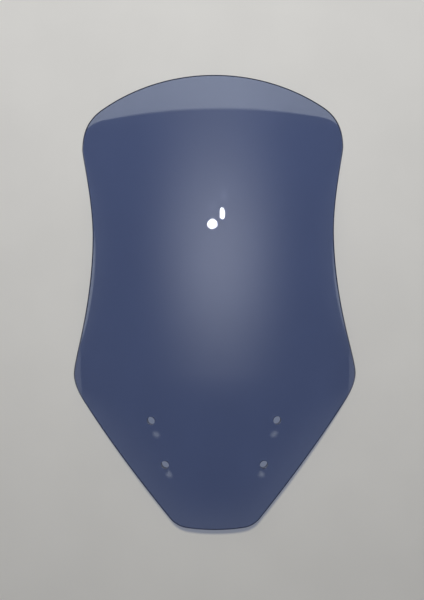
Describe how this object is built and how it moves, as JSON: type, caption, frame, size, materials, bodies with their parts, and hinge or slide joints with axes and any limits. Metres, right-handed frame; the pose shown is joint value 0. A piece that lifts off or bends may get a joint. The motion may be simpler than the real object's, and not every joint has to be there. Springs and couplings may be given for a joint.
{
  "type": "windshield screen",
  "caption": "Tinted one-piece motorcycle windscreen, domed across, with a waisted outline, a tapered foot and four plain drilled fixing holes.",
  "frame": {"origin": "on the surface that the screen lies on, hollow side down, under the middle of its length and width", "axes": "+Z square to that surface, out of the screen's wind side; +Y towards the top edge; +X to the right, seen from the wind side with the top edge up"},
  "size_m": [0.306, 0.461, 0.0578],
  "materials": {
    "tinted_sheet": "polished"
  },
  "bodies": {
    "root": {"screen_panel": "tinted_sheet"}
  },
  "joints": []
}
